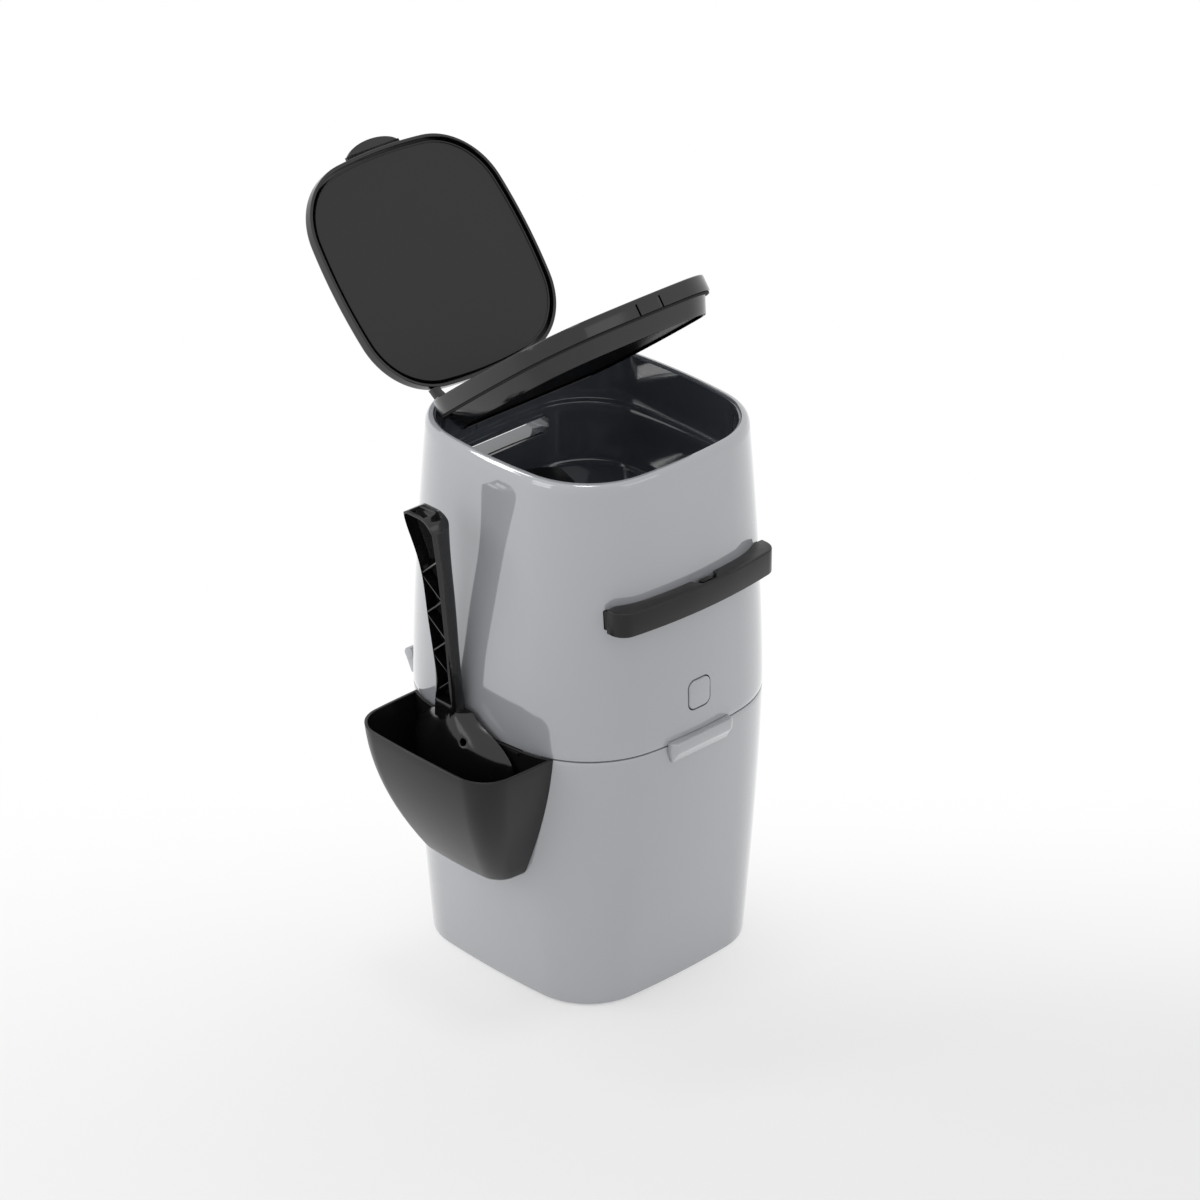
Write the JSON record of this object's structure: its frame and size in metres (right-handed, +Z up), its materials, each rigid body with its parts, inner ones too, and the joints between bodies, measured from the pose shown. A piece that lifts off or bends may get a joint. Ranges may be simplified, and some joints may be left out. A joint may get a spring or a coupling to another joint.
{
  "type": "litter disposal pail",
  "caption": "Litter disposal pail in two hinged shells, with a film clamp worked by a pull handle, nested lids, a release button, and a scoop in a side holder.",
  "frame": {"origin": "centre of the pail's flat base, on the floor", "axes": "+Z up; -Y is the front, with the pull handle and the release button; -X is the side that carries the scoop"},
  "size_m": [0.2743, 0.3417, 0.5458],
  "materials": {
    "body_grey": "glossy moulded grey",
    "liner_slate": "glossy dark slate",
    "black_satin": "satin black",
    "black_gloss": "glossy black",
    "black_panel": "satin black",
    "button_grey": "glossy moulded grey",
    "soft_black": "matte soft pad",
    "steel": "plain steel"
  },
  "bodies": {
    "lower_body": {"lower_bin": "body_grey", "body_hinge_pin": "steel", "scoop_holder": "black_satin"},
    "scoop": {"scoop": "black_gloss"},
    "upper_body": {"upper_shell": "body_grey", "well_liner": "liner_slate", "clamp_frame": "liner_slate", "clamp_screws": "steel", "rear_jaw": "black_satin", "rear_jaw_pad": "soft_black", "latch_cover": "liner_slate", "lid_hinge_pin": "steel", "return_spring_left": "steel", "return_spring_right": "steel", "button_spring": "steel"},
    "clamp_slide": {"front_jaw": "black_satin", "front_jaw_pad": "soft_black", "pull_handle": "black_satin", "handle_screws": "steel"},
    "release_button": {"release_button": "button_grey", "latch_hook": "black_satin"},
    "outer_lid": {"outer_lid": "black_gloss", "outer_lid_panel": "black_panel"},
    "inner_lid": {"inner_lid": "black_gloss", "inner_lid_dish": "black_gloss", "inner_lid_clip": "black_gloss", "inner_lid_seal": "soft_black"}
  },
  "joints": [
    {"name": "body_hinge", "type": "hinge", "parent": "lower_body", "child": "upper_body", "pos_m": [0, 0.1128, 0.2036], "axis": [-1, 0, 0], "range_deg": [0, 95]},
    {"name": "outer_lid_hinge", "type": "hinge", "parent": "upper_body", "child": "outer_lid", "pos_m": [0, 0.0922, 0.4046], "axis": [-1, 0, 0], "range_deg": [-130.8, 0]},
    {"name": "inner_lid_hinge", "type": "hinge", "parent": "upper_body", "child": "inner_lid", "pos_m": [0, 0.0922, 0.4046], "axis": [-1, 0, 0], "range_deg": [-37.61, 0]},
    {"name": "handle_pull", "type": "slide", "parent": "upper_body", "child": "clamp_slide", "axis": [0, -1, 0], "range_m": [0, 0.036], "stiffness_N_per_m": 150, "springref_m": -0.01, "deforming": ["return_spring_left", "return_spring_right"]},
    {"name": "button_press", "type": "slide", "parent": "upper_body", "child": "release_button", "axis": [0, 1, 0], "range_m": [0, 0.0035], "stiffness_N_per_m": 600, "springref_m": -0.003, "deforming": ["button_spring"]},
    {"name": "scoop_lift", "type": "slide", "parent": "lower_body", "child": "scoop", "axis": [0, 0, 1], "range_m": [0, 0.25]}
  ],
  "couplings": [
    {"joint": "inner_lid_hinge", "follows": "outer_lid_hinge", "ratio": 0.28746}
  ]
}
